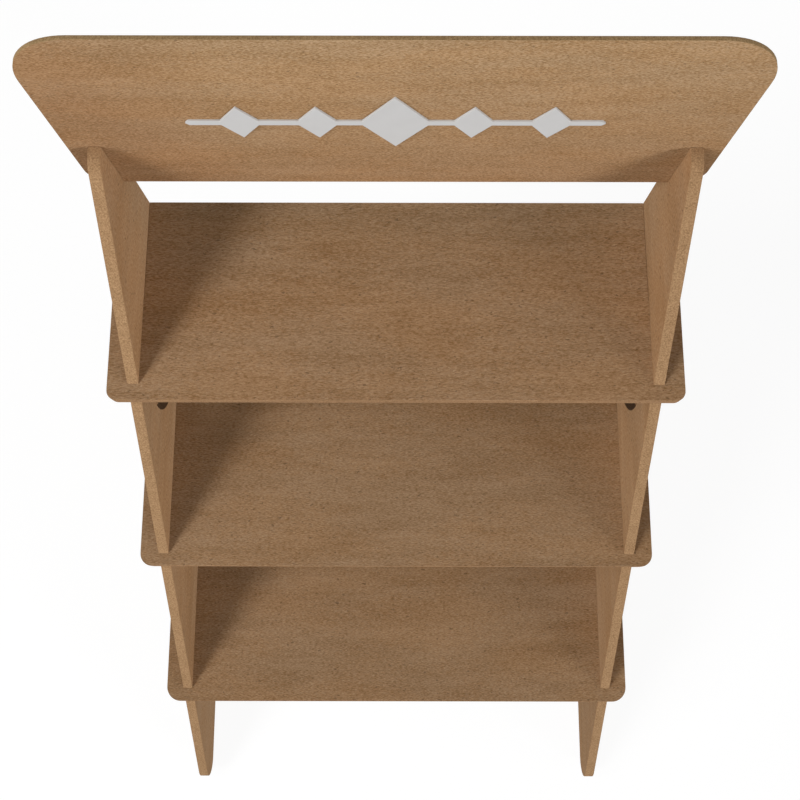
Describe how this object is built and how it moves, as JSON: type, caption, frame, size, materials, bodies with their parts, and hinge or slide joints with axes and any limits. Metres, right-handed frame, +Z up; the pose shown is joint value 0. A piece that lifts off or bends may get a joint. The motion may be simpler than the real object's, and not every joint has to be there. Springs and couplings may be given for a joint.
{
  "type": "countertop display stand",
  "caption": "Slot-together countertop display stand: stepped shelves held between two slanted side panels, with a rounded header board above.",
  "frame": {"origin": "on the floor, in the middle of the stand's width and depth", "axes": "+Z up, -Y towards the customer at the front, +X to the right of someone facing the front"},
  "size_m": [0.45, 0.5, 0.62],
  "materials": {
    "fibreboard": "matte",
    "header_board": "matte",
    "pale_plastic": "matte"
  },
  "bodies": {
    "root": {"left_side_panel": "fibreboard", "right_side_panel": "fibreboard", "bottom_shelf": "fibreboard", "middle_shelf": "fibreboard", "top_shelf": "fibreboard", "header": "header_board", "header_ornament": "pale_plastic"}
  },
  "joints": []
}
